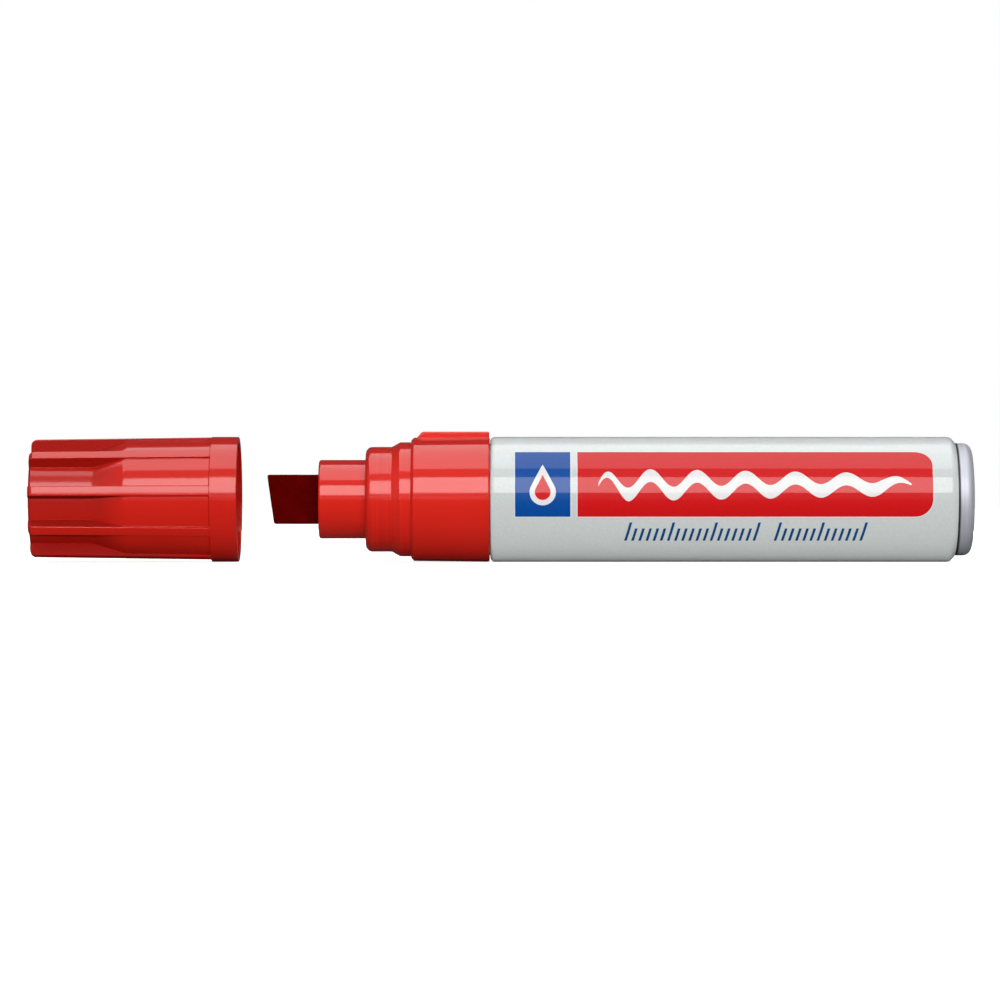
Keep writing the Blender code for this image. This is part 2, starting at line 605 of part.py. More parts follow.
def main():
    remove_everything()
    marker_frame = axis_empty("marker_frame", 0)
    cap_frame = axis_empty("cap_frame", CAP_MOUTH)
    nib_frame = axis_empty("nib_frame", NIB_TIP)

    housing_red = principled("housing_red", (0.66, 0.02, 0.012), 0.3)
    cap_red = principled("cap_red", (0.66, 0.02, 0.012), 0.3)
    lacquer = principled("barrel_lacquer", (0.58, 0.61, 0.6), 0.35, 0.3)
    felt = principled("nib_felt", (0.09, 0.002, 0.002), 0.95)
    white_plastic = principled("white_plastic", (0.8, 0.8, 0.78), 0.4)
    holder_plastic = principled("holder_plastic", (0.75, 0.76, 0.75), 0.45)
    rubber = principled("seal_rubber", (0.03, 0.012, 0.012), 0.8)
    fibre = principled("ink_fibre", (0.35, 0.01, 0.01), 0.95)
    film = principled("wrap_film", (0.85, 0.86, 0.88), 0.2)
    strip_plastic = principled("strip_plastic", (0.9, 0.9, 0.9), 0.4)
    spacer_plastic = principled("spacer_plastic", (0.7, 0.7, 0.7), 0.45)

    make_barrel(marker_frame, lacquer)
    make_front_housing(marker_frame, housing_red)
    make_sealing_ring(marker_frame, rubber)
    make_nib_holder(marker_frame, holder_plastic)
    make_reservoir(marker_frame, fibre, film, strip_plastic)
    make_rear_spacer(marker_frame, spacer_plastic)
    make_cap_shell(cap_frame, cap_red)
    make_cap_liner(cap_frame, white_plastic)
    make_nib(nib_frame, felt)


main()
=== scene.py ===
"""The looks of an uncapped jumbo felt tip marker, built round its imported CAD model.

The pen's axis runs along X, with the cap's closed end at -X, the barrel's base at +X and the anti-roll lug
on top. Everything is in metres, in the frame of the CAD model.
"""

import math

import bmesh
import bpy
import numpy as np
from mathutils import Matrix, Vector, noise


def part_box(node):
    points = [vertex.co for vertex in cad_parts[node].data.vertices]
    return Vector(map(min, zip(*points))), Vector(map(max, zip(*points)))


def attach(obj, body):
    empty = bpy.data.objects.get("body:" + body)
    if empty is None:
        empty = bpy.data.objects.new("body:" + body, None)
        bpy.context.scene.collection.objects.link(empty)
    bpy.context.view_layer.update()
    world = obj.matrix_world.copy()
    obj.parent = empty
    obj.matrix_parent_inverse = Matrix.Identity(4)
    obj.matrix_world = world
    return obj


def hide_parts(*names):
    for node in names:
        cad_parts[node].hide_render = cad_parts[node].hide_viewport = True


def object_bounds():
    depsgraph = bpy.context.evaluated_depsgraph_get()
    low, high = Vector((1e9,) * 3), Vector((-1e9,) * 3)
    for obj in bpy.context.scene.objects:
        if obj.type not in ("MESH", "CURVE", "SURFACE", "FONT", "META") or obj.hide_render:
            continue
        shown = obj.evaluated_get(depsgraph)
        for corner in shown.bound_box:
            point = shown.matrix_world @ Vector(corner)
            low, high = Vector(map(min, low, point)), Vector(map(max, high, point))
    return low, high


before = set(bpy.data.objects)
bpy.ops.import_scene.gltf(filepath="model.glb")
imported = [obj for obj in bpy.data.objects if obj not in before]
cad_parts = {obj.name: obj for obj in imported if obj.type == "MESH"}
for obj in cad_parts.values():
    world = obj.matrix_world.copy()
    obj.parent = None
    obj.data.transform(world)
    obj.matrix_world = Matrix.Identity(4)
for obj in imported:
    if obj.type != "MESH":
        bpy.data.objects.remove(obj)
cad_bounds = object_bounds()

MM = 0.001

# Where the CAD pieces lie
barrel_low, barrel_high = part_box("barrel")
AXIS_Z = (barrel_low.z + barrel_high.z) / 2
BARREL_FRONT = barrel_low.x
BASE_END = barrel_high.x
NOSE_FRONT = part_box("front_housing")[0].x
SPIGOT_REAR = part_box("front_housing")[1].x
CAP_END, CAP_MOUTH = (corner.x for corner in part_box("cap_shell"))
NIB_TIP, NIB_TAIL_END = (corner.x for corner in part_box("nib"))
SEAL_FRONT, SEAL_REAR = (corner.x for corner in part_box("sealing_ring"))

# Meshing
SEGMENTS = 192
ARC_STEP = math.radians(11)
SHARP_ANGLE = math.radians(50)
ON_AXIS = 1e-7

# Barrel
BARREL_RADIUS = 12.0 * MM
BARREL_WALL = 0.55 * MM
BARREL_BORE = BARREL_RADIUS - BARREL_WALL
LIP_RADIUS = 0.9 * MM
LIP_BORE = 10.825 * MM
BASE_LENGTH = 3.2 * MM
BASE_RADIUS = 10.8 * MM
BASE_EDGE_RADIUS = 1.6 * MM
SHOULDER = BASE_END - BASE_LENGTH

# Front housing
NOSE_LENGTH = 9.0 * MM
NOSE_RADIUS = 7.567 * MM
FRONT_RING_LENGTH = 5.0 * MM
FRONT_RING_RADIUS = 10.07 * MM
RING_SLOPE_LENGTH = 1.6 * MM
REAR_RING_LENGTH = 2.15 * MM
REAR_RING_RADIUS = 10.97 * MM
COLLAR_LENGTH = 15.05 * MM
COLLAR_FRONT_RADIUS = 11.85 * MM
NECK_RADIUS = 10.725 * MM
SPIGOT_RADIUS = 11.35 * MM
SPIGOT_BORE = 10.4 * MM
RING_FRONT = NOSE_FRONT + NOSE_LENGTH
RING_REAR = RING_FRONT + FRONT_RING_LENGTH
REAR_RING_FRONT = RING_REAR + RING_SLOPE_LENGTH
COLLAR_FRONT = REAR_RING_FRONT + REAR_RING_LENGTH
COLLAR_REAR = COLLAR_FRONT + COLLAR_LENGTH
LUG_HALF_WIDTH = 1.7 * MM
LUG_TOP = 13.0 * MM

# Nib
NIB_HEIGHT = 9.5 * MM
NIB_THICKNESS = 5.0 * MM
NIB_SLANT = 1.35 * MM
NIB_EXPOSED = 9.95 * MM

# Cap
CAP_SKIRT_LENGTH = 5.2 * MM
CAP_SKIRT_RADIUS = 12.0 * MM
CAP_SKIRT_BORE = 11.07 * MM
RIDGE_RADIUS = 11.9 * MM
CAP_DRAFT = 0.45 * MM
CAP_END_ROUND = 1.1 * MM
CAP_BODY_LENGTH = CAP_MOUTH - CAP_END - CAP_SKIRT_LENGTH
RIDGES = 9
RIDGE_PITCH = math.tau / RIDGES
FIRST_RIDGE = math.radians(180 - 8.0)
FLUTE_RADIUS = 9.217 * MM
PANEL_DEPTH = 0.4 * MM
FLUTE_LENGTH = 12.0 * MM
RAMP_LENGTH = 6.5 * MM
LINER_SEAT = CAP_MOUTH - 8.85 * MM
LINER_STEP = LINER_SEAT - 10.3 * MM
LINER_LIP_RADIUS = 8.517 * MM
LINER_LIP_BORE = 7.617 * MM
LINER_RADIUS = 7.767 * MM
LINER_BORE = 6.867 * MM

# Camera
VIEW_DISTANCE = 1.0
VIEW_WIDTH = 192.3 * MM
SENSOR_WIDTH = 36.0
VIEW_OFFSET_X = -0.23 * MM
VIEW_OFFSET_Z = -0.13 * MM
FLOOR_CLEARANCE = 0.02 * MM
FLOOR_REACH = 6
GLOSS_DISTANCE = 0.9
GLOSS_ELEVATION = math.radians(26.5)


# ---------------------------------------------------------------- meshes


def rounded(corners):
    """An outline through corners (x, r, fillet), each rounded to its own fillet radius."""
    points = []
    for i, (x, r, fillet) in enumerate(corners):
        corner = Vector((x, r))
        if not fillet:
            points.append(corner)
            continue
        to_last = (Vector(corners[i - 1][:2]) - corner).normalized()
        to_next = (Vector(corners[(i + 1) % len(corners)][:2]) - corner).normalized()
        turn = math.pi - to_last.angle(to_next)
        if turn < 1e-4:
            points.append(corner)
            continue
        centre = corner + (to_last + to_next).normalized() * fillet / math.cos(turn / 2)
        reach = fillet * math.tan(turn / 2)
        start = corner + to_last * reach - centre
        end = corner + to_next * reach - centre
        steps = max(2, math.ceil(turn / ARC_STEP))
        for step in range(steps + 1):
            t = step / steps
            point = (math.sin((1 - t) * turn) * start + math.sin(t * turn) * end) / math.sin(turn)
            points.append(centre + point)
    return points


def on_axis(x, r, angle):
    """The point at a distance r from the axis, at an angle from +Y towards +Z."""
    return Vector((x, r * math.cos(angle), AXIS_Z + r * math.sin(angle)))


def skin(rings, closed=False):
    """A surface through rings of points. A ring of one point closes an end; closed joins last to first."""
    bm = bmesh.new()
    loops = [[bm.verts.new(point) for point in ring] for ring in rings]
    pairs = list(zip(loops, loops[1:]))
    if closed:
        pairs.append((loops[-1], loops[0]))
    for near, far in pairs:
        count = max(len(near), len(far))
        for i in range(count if count > 1 else 0):
            j = (i + 1) % count
            if len(near) == 1:
                bm.faces.new((near[0], far[j], far[i]))
            elif len(far) == 1:
                bm.faces.new((near[i], near[j], far[0]))
            else:
                bm.faces.new((near[i], near[j], far[j], far[i]))
    return bm


def turned(outline, segments=SEGMENTS):
    """A body of revolution about the pen's axis, through (x, r) points."""
    rings = []
    for x, r in outline:
        if r < ON_AXIS:
            rings.append([Vector((x, 0, AXIS_Z))])
        else:
            rings.append([on_axis(x, r, math.tau * i / segments) for i in range(segments)])
    return skin(rings, closed=len(rings[0]) > 1)


def combined(target_bm, tool_bm, operation):
    """The result of cutting or joining two closed shapes."""
    pair = []
    for bm in (target_bm, tool_bm):
        bmesh.ops.recalc_face_normals(bm, faces=bm.faces)
        mesh = bpy.data.meshes.new("part")
        bm.to_mesh(mesh)
        bm.free()
        pair.append(bpy.data.objects.new("part", mesh))
        bpy.context.scene.collection.objects.link(pair[-1])
    modifier = pair[0].modifiers.new("combine", "BOOLEAN")
    modifier.operation = operation
    modifier.object = pair[1]
    modifier.solver = "EXACT"
    evaluated = pair[0].evaluated_get(bpy.context.evaluated_depsgraph_get())
    result = bmesh.new()
    result.from_mesh(evaluated.to_mesh())
    evaluated.to_mesh_clear()
    for item in pair:
        bpy.data.objects.remove(item, do_unlink=True)
    return result


def add_piece(name, bm, body, materials, replaced=()):
    """Makes a piece that rides on a body. Its mesh is already in the CAD model's frame."""
    bmesh.ops.recalc_face_normals(bm, faces=bm.faces)
    mesh = bpy.data.meshes.new(name)
    bm.to_mesh(mesh)
    bm.free()
    mesh.shade_smooth()
    mesh.set_sharp_from_angle(angle=SHARP_ANGLE)
    for material in materials:
        mesh.materials.append(material)
    piece = bpy.data.objects.new(name, mesh)
    bpy.context.scene.collection.objects.link(piece)
    weighted = piece.modifiers.new("weighted_normals", "WEIGHTED_NORMAL")
    weighted.keep_sharp = True
    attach(piece, body)
    if replaced:
        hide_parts(*replaced)
    return piece


# ---------------------------------------------------------------- materials

# The Mix node's sockets, by number, because their names repeat: first, second, result
COLOUR_MIX = (6, 7, 2)
NUMBER_MIX = (2, 3, 0)
MOULD_MARK = 0.1 * MM


def new_material(name, colour, **sockets):
    """A Principled material. Underscores in a socket's name stand for spaces."""
    material = bpy.data.materials.new(name)
    material.use_nodes = True
    shader = material.node_tree.nodes["Principled BSDF"]
    shader.inputs["Base Color"].default_value = (*colour, 1)
    for socket, value in sockets.items():
        shader.inputs[socket.replace("_", " ").title().replace("Ior", "IOR")].default_value = value
    return material, material.node_tree, shader


def add_node(tree, kind, inputs=None, **settings):
    node = tree.nodes.new(kind)
    for key, value in settings.items():
        setattr(node, key, value)
    for socket, value in (inputs or {}).items():
        if isinstance(value, bpy.types.NodeSocket):
            tree.links.new(value, node.inputs[socket])
        else:
            node.inputs[socket].default_value = value
    return node


def object_coords(tree, stretch=(1, 1, 1)):
    coords = add_node(tree, "ShaderNodeTexCoord").outputs["Object"]
    return add_node(tree, "ShaderNodeMapping", {"Vector": coords, "Scale": stretch}).outputs["Vector"]


def turned_coords(tree, along=1.0, across=1.0):
    """Coordinates that are the same all the way round the pen's axis: (x, distance from the axis)."""
    coords = add_node(tree, "ShaderNodeTexCoord").outputs["Object"]
    split = add_node(tree, "ShaderNodeSeparateXYZ", {0: coords})
    centred = add_node(tree, "ShaderNodeMath", {0: split.outputs["Z"], 1: AXIS_Z}, operation="SUBTRACT")
    across_axis = add_node(tree, "ShaderNodeCombineXYZ", {"Y": split.outputs["Y"], "Z": centred.outputs[0]})
    distance = add_node(tree, "ShaderNodeVectorMath", {0: across_axis.outputs[0]}, operation="LENGTH")
    x = add_node(tree, "ShaderNodeMath", {0: split.outputs["X"], 1: along}, operation="MULTIPLY")
    r = add_node(tree, "ShaderNodeMath", {0: distance.outputs["Value"], 1: across}, operation="MULTIPLY")
    return add_node(tree, "ShaderNodeCombineXYZ", {"X": x.outputs[0], "Y": r.outputs[0]}).outputs[0]


def add_noise(tree, coords, scale, detail=3.0, roughness=0.5):
    inputs = {"Vector": coords, "Scale": scale, "Detail": detail, "Roughness": roughness}
    return add_node(tree, "ShaderNodeTexNoise", inputs).outputs["Fac"]


def remapped(tree, value, low, high, start=0.3, end=0.7):
    """Spreads a noise's middle range over low to high."""
    inputs = {"Value": value, "From Min": start, "From Max": end, "To Min": low, "To Max": high}
    return add_node(tree, "ShaderNodeMapRange", inputs).outputs["Result"]


def mixed(tree, factor, first, second):
    """Mixes two fixed colours by a node's result."""
    node = add_node(tree, "ShaderNodeMix", data_type="RGBA")
    start, end, result = COLOUR_MIX
    tree.links.new(factor, node.inputs[0])
    node.inputs[start].default_value = (*first, 1)
    node.inputs[end].default_value = (*second, 1)
    return node.outputs[result]


def blended(tree, factor, first, second, kind="RGBA"):
    """Mixes the results of two nodes: colours, or numbers with kind "FLOAT"."""
    node = add_node(tree, "ShaderNodeMix", data_type=kind)
    start, end, result = COLOUR_MIX if kind == "RGBA" else NUMBER_MIX
    for socket, source in ((0, factor), (start, first), (end, second)):
        tree.links.new(source, node.inputs[socket])
    return node.outputs[result]


def scaled(colour, by):
    return tuple(c * by for c in colour)


def bumped(tree, height, distance, normal=None):
    node = add_node(tree, "ShaderNodeBump", {"Height": height, "Distance": distance})
    if normal:
        tree.links.new(normal, node.inputs["Normal"])
    return node.outputs["Normal"]


def moulded_plastic(name, pale, deep, gloss, satin, patches=420, recess=None, streaked=None):
    """Injection-moulded plastic: faint flow mottling, uneven gloss, and a trace of orange peel.

    patches is how many patches of gloss there are to the metre, roughly.
    recess is a low and a high radius: the mould is coarser towards the low one, and the colour there is
    darkened as painted shade.
    streaked is a length of the pen, from x to x, where the mould's turning marks show in the gloss.
    """
    material, tree, shader = new_material(name, pale)
    coords = object_coords(tree)
    flow = remapped(tree, add_noise(tree, object_coords(tree, (0.35, 1, 1)), 170, 4), 0, 1)
    colour = mixed(tree, flow, pale, deep)
    rough = remapped(tree, add_noise(tree, coords, patches, 5, 0.6), gloss, satin)
    marks = add_noise(tree, turned_coords(tree, 1, 0.4), 2600, 3)
    grain = add_noise(tree, coords, 5200, 2)
    if recess:
        place = add_node(tree, "ShaderNodeSeparateXYZ", {0: turned_coords(tree)})
        sunk = remapped(tree, place.outputs["Y"], 1, 0, *recess)
        # Painted shade: the colour is darkened towards the flutes' floors, and the gloss is rougher there.
        colour = blended(tree, sunk, colour, mixed(tree, grain, *(scaled(c, 0.78) for c in (pale, deep))))
        rough = blended(tree, sunk, rough, remapped(tree, grain, 0.1, 0.24), "FLOAT")
    if streaked:
        place = add_node(tree, "ShaderNodeSeparateXYZ", {0: turned_coords(tree)})
        begins = remapped(tree, place.outputs["X"], 0, 1, streaked[0] - MOULD_MARK, streaked[0])
        ends = remapped(tree, place.outputs["X"], 1, 0, streaked[1] - MOULD_MARK, streaked[1])
        inside = add_node(tree, "ShaderNodeMath", {0: begins, 1: ends}, operation="MULTIPLY").outputs[0]
        uneven = add_noise(tree, turned_coords(tree, 1, 0.02), 2300, 2, 0.7)
        rough = blended(tree, inside, rough, remapped(tree, uneven, 0.04, 0.2), "FLOAT")
        streaks = mixed(tree, remapped(tree, uneven, 0, 1), scaled(pale, 1.06), scaled(deep, 0.92))
        colour = blended(tree, inside, colour, streaks)
    tree.links.new(colour, shader.inputs["Base Color"])
    tree.links.new(rough, shader.inputs["Roughness"])
    lathe = bumped(tree, marks, 0.5e-6)
    fine = bumped(tree, add_noise(tree, coords, 650, 2), 2e-6, lathe)
    tree.links.new(bumped(tree, grain, 0.25e-6, fine), shader.inputs["Normal"])
    return material


def coarse_plastic(name, pale, deep):
    """Plastic from a spark-eroded part of the mould: duller, with a sandy grain, in the darker colours it is
    given; on the cap's ridge walls that darkness is painted shade.
    """
    material, tree, shader = new_material(name, pale, specular_ior_level=0.06)
    sand = add_noise(tree, object_coords(tree), 5200, 3, 0.7)
    tree.links.new(mixed(tree, remapped(tree, sand, 0, 1), deep, pale), shader.inputs["Base Color"])
    tree.links.new(remapped(tree, sand, 0.42, 0.62), shader.inputs["Roughness"])
    tree.links.new(bumped(tree, sand, 2.5e-5), shader.inputs["Normal"])
    return material


def lacquered_metal():
    """Silver-grey lacquer with a fine metallic grain, under a clear coat."""
    pale, deep = (0.645, 0.682, 0.670), (0.598, 0.632, 0.621)
    material, tree, shader = new_material(
        "barrel_lacquer",
        pale,
        diffuse_roughness=0.8,
        specular_ior_level=0.04,
        coat_weight=1.0,
        coat_roughness=0.02,
    )
    coords = object_coords(tree)
    grain = remapped(tree, add_noise(tree, coords, 2600, 2), 0, 1)
    tree.links.new(mixed(tree, grain, pale, deep), shader.inputs["Base Color"])
    tree.links.new(remapped(tree, add_noise(tree, coords, 900, 4), 0.36, 0.48), shader.inputs["Roughness"])
    drawn = add_noise(tree, object_coords(tree, (0.05, 1, 1)), 500, 3)
    tree.links.new(bumped(tree, drawn, 0.8e-6), shader.inputs["Normal"])
    return material


def bare_metal():
    """Bare drawn aluminium, with fine marks that run round the axis and a dark line of painted shade at the
    shoulder.
    """
    material, tree, shader = new_material(
        "bare_aluminium", (0.5, 0.51, 0.56), metallic=0.3, specular_ior_level=0.3
    )
    marks = add_noise(tree, turned_coords(tree, 1, 1), 2600, 4, 0.75)
    streaks = add_noise(tree, object_coords(tree, (1, 0.15, 0.15)), 900, 4, 0.6)
    tint = mixed(tree, remapped(tree, marks, 0, 1), (0.31, 0.32, 0.36), (0.63, 0.64, 0.70))
    smudge = mixed(tree, remapped(tree, streaks, 0, 1), (0.44, 0.445, 0.49), (0.54, 0.55, 0.60))
    tint = blended(tree, remapped(tree, streaks, 0.25, 0.75), tint, smudge)
    x = add_node(tree, "ShaderNodeSeparateXYZ", {0: turned_coords(tree)}).outputs["X"]
    # Painted shade: a dark band in the corner just behind the shoulder, fading out over a quarter of a
    # millimetre.
    shoulder_shade = remapped(tree, x, 1, 0, SHOULDER + 0.34 * MM, SHOULDER + 0.6 * MM)
    tint = blended(tree, shoulder_shade, tint, mixed(tree, streaks, (0.035, 0.035, 0.04), (0.09, 0.09, 0.10)))
    tree.links.new(tint, shader.inputs["Base Color"])
    tree.links.new(remapped(tree, marks, 0.4, 0.6), shader.inputs["Roughness"])
    tree.links.new(bumped(tree, marks, 5e-6), shader.inputs["Normal"])
    return material


def felt():
    """Bonded fibre, soaked with ink: dark and matt, with strands that run along the nib."""
    damp, dry = (0.070, 0.0004, 0.0003), (0.105, 0.0012, 0.0008)
    material, tree, shader = new_material("ink_felt", damp, roughness=1.0, specular_ior_level=0.0)
    strands = add_noise(tree, object_coords(tree, (0.12, 1, 1)), 5200, 4, 0.6)
    blotches = add_noise(tree, object_coords(tree), 380, 4)
    shade = add_node(tree, "ShaderNodeMath", {0: strands, 1: blotches}, operation="MULTIPLY").outputs[0]
    colour = mixed(tree, remapped(tree, shade, 0, 1, 0.12, 0.42), damp, dry)
    tree.links.new(colour, shader.inputs["Base Color"])
    tree.links.new(bumped(tree, strands, 2.2e-5), shader.inputs["Normal"])
    return material


def soft_plastic(name, pale, deep, roughness, specks=900):
    """An inner moulding: milky, with slight sink marks."""
    material, tree, shader = new_material(name, pale)
    coords = object_coords(tree)
    tint = mixed(tree, remapped(tree, add_noise(tree, coords, specks / 4, 3), 0, 1), pale, deep)
    tree.links.new(tint, shader.inputs["Base Color"])
    rough = remapped(tree, add_noise(tree, coords, specks, 4), roughness - 0.06, roughness + 0.08)
    tree.links.new(rough, shader.inputs["Roughness"])
    tree.links.new(bumped(tree, add_noise(tree, coords, specks, 2), 2e-6), shader.inputs["Normal"])
    return material


def printed_ink(name, colour, worn, coat=0.55):
    """Screen-printed ink on the lacquer: flat, slightly raised grain, glossed by the clear coat."""
    material, tree, shader = new_material(
        name, colour, roughness=0.35, coat_weight=coat, coat_roughness=0.035, specular_ior_level=0.05
    )
    coords = object_coords(tree)
    tint = mixed(tree, remapped(tree, add_noise(tree, coords, 1500, 4), 0, 1), colour, worn)
    tree.links.new(tint, shader.inputs["Base Color"])
    tree.links.new(remapped(tree, add_noise(tree, coords, 900, 3), 0.3, 0.42), shader.inputs["Roughness"])
    tree.links.new(bumped(tree, add_noise(tree, coords, 3200, 2), 0.4e-6), shader.inputs["Normal"])
    return material


# ---------------------------------------------------------------- pieces


def make_barrel(lacquer, metal):
    """The can, lacquered to its shoulder, with a bare stepped base."""
    outside = rounded(
        [
            (BARREL_FRONT, LIP_BORE, 0.15 * MM),
            (BARREL_FRONT, BARREL_RADIUS, LIP_RADIUS),
            (SHOULDER - 0.9 * MM, BARREL_RADIUS, 1.3 * MM),
            (SHOULDER, BARREL_RADIUS - 1.05 * MM, 0.12 * MM),
            (SHOULDER, BASE_RADIUS - 0.3 * MM, 0.08 * MM),
            (SHOULDER + 0.3 * MM, BASE_RADIUS - 0.3 * MM, 0.05 * MM),
            (SHOULDER + 0.3 * MM, BASE_RADIUS, 0.06 * MM),
            (BASE_END, BASE_RADIUS, BASE_EDGE_RADIUS),
            (BASE_END, 8.2 * MM, 0.3 * MM),
            (BASE_END - 0.35 * MM, 7.7 * MM, 0.5 * MM),
            (BASE_END - 0.35 * MM, 0, 0),
        ]
    )
    floor = BASE_END - 0.35 * MM - BARREL_WALL
    inside = rounded(
        [
            (floor, 0, 0),
            (floor, BASE_RADIUS - BARREL_WALL, 1.0 * MM),
            (SHOULDER - 1.5 * MM, BASE_RADIUS - BARREL_WALL, 0.5 * MM),
            (SHOULDER - 2.6 * MM, BARREL_BORE, 0.5 * MM),
            (BARREL_FRONT + LIP_RADIUS + BARREL_WALL, BARREL_BORE, 0.4 * MM),
        ]
    )
    bm = turned(outside + inside)
    for face in bm.faces:
        centre = face.calc_center_median()
        distance = math.hypot(centre.y, centre.z - AXIS_Z)
        along_bore = BARREL_FRONT + LIP_RADIUS < centre.x < SHOULDER - 0.3 * MM
        inner = distance < BARREL_BORE + 0.1 * MM and along_bore
        if inner or centre.x > SHOULDER - 0.02 * MM:
            face.material_index = 1
    return add_piece("barrel_can", bm, "marker", [lacquer, metal], ["barrel"])


def lug():
    """The anti-roll lug: a bar with a sloped front, its edges rounded over."""
    front = COLLAR_FRONT + 1.1 * MM
    rear = COLLAR_REAR - 0.1 * MM
    slope_top = front + 1.0 * MM
    outline = [
        (front - 0.45 * MM, 11.4 * MM),
        (slope_top, LUG_TOP),
        (rear, LUG_TOP),
        (rear, 10.9 * MM),
        (front - 0.45 * MM, 10.9 * MM),
    ]
    bm = bmesh.new()
    sides = []
    for y in (-LUG_HALF_WIDTH, LUG_HALF_WIDTH):
        sides.append([bm.verts.new((x, y, AXIS_Z + r)) for x, r in outline])
        bm.faces.new(sides[-1])
    for i in range(len(outline)):
        j = (i + 1) % len(outline)
        bm.faces.new((sides[0][i], sides[0][j], sides[1][j], sides[1][i]))
    deep = AXIS_Z + 11.45 * MM
    edges = [edge for edge in bm.edges if max(vert.co.z for vert in edge.verts) > deep]
    bmesh.ops.bevel(bm, geom=edges, offset=0.28 * MM, segments=4, profile=0.5, affect="EDGES")
    return bm


def rounded_rectangle(x, height, thickness, corner, lean=0.0, steps=6, straight=1):
    """A ring across the axis. lean is how much further back its bottom lies than its top. straight is how
    many pieces each flat side is cut into."""
    flat = []
    for quarter in range(4):
        side_y = (1, -1, -1, 1)[quarter]
        side_z = (1, 1, -1, -1)[quarter]
        for i in range(steps + 1):
            angle = math.radians(90 * quarter + 90 * i / steps)
            y = side_y * (thickness / 2 - corner) + corner * math.cos(angle)
            z = side_z * (height / 2 - corner) + corner * math.sin(angle)
            flat.append(Vector((y, z)))
    points = []
    for i, here in enumerate(flat):
        following = flat[(i + 1) % len(flat)]
        cuts = straight if i % (steps + 1) == steps else 1
        points += [here.lerp(following, cut / cuts) for cut in range(cuts)]
    return [Vector((x + lean * (0.5 - z / NIB_HEIGHT), y, AXIS_Z + z)) for y, z in points]


def make_housing(red):
    """The red moulding: nose, stepped rings, collar with its lug, neck and spigot."""
    spigot_front = COLLAR_REAR + 1.3 * MM
    seal_seat = COLLAR_REAR - 0.4 * MM
    ledge = COLLAR_REAR - 3.55 * MM
    profile = rounded(
        [
            (NOSE_FRONT, 0, 0),
            (NOSE_FRONT, NOSE_RADIUS, 0.5 * MM),
            (RING_FRONT, NOSE_RADIUS, 0.12 * MM),
            (RING_FRONT, FRONT_RING_RADIUS, 1.3 * MM),
            (RING_REAR, FRONT_RING_RADIUS, 0.5 * MM),
            (REAR_RING_FRONT, REAR_RING_RADIUS, 0.5 * MM),
            (COLLAR_FRONT, REAR_RING_RADIUS, 0.08 * MM),
            (COLLAR_FRONT, COLLAR_FRONT_RADIUS - 0.5 * MM, 0.12 * MM),
            (COLLAR_FRONT + 0.5 * MM, COLLAR_FRONT_RADIUS, 0.25 * MM),
            (COLLAR_REAR, BARREL_RADIUS, 0.42 * MM),
            (COLLAR_REAR, 11.4 * MM, 0),
            (seal_seat, 11.4 * MM, 0),
            (seal_seat, NECK_RADIUS, 0),
            (spigot_front, NECK_RADIUS, 0),
            (spigot_front + 0.3 * MM, SPIGOT_RADIUS, 0.1 * MM),
            (SPIGOT_REAR - 0.3 * MM, SPIGOT_RADIUS, 0.1 * MM),
            (SPIGOT_REAR, SPIGOT_RADIUS - 0.3 * MM, 0.1 * MM),
            (SPIGOT_REAR, SPIGOT_BORE, 0.1 * MM),
            (ledge, SPIGOT_BORE, 0.1 * MM),
            (ledge, 9.75 * MM, 0.1 * MM),
            (COLLAR_FRONT, 9.75 * MM, 0.2 * MM),
            (REAR_RING_FRONT, 8.87 * MM, 0.2 * MM),
            (RING_FRONT + 1.2 * MM, 8.87 * MM, 0.2 * MM),
            (RING_FRONT + 1.2 * MM, 6.167 * MM, 0.2 * MM),
            (NOSE_FRONT + 1.2 * MM, 6.167 * MM, 0.2 * MM),
            (NOSE_FRONT + 1.2 * MM, 0, 0),
        ]
    )
    body = combined(turned(profile), lug(), "UNION")
    high = NIB_HEIGHT + 0.3 * MM
    thick = NIB_THICKNESS + 0.3 * MM
    mouth = []
    for x, flare in ((-0.6, 0.86), (0.0, 0.26), (0.08, 0.18), (0.26, 0.0), (1.8, 0.0)):
        grow = 2 * flare * MM
        mouth.append(rounded_rectangle(NOSE_FRONT + x * MM, high + grow, thick + grow, (0.75 + flare) * MM))
    cutter = skin(mouth)
    for ring in (mouth[0], mouth[-1]):
        cap = [vert for vert in cutter.verts if abs(vert.co.x - ring[0].x) < ON_AXIS]
        cutter.faces.new(cap)
    body = combined(body, cutter, "DIFFERENCE")
    return add_piece("housing_moulding", body, "marker", [red], ["front_housing"])


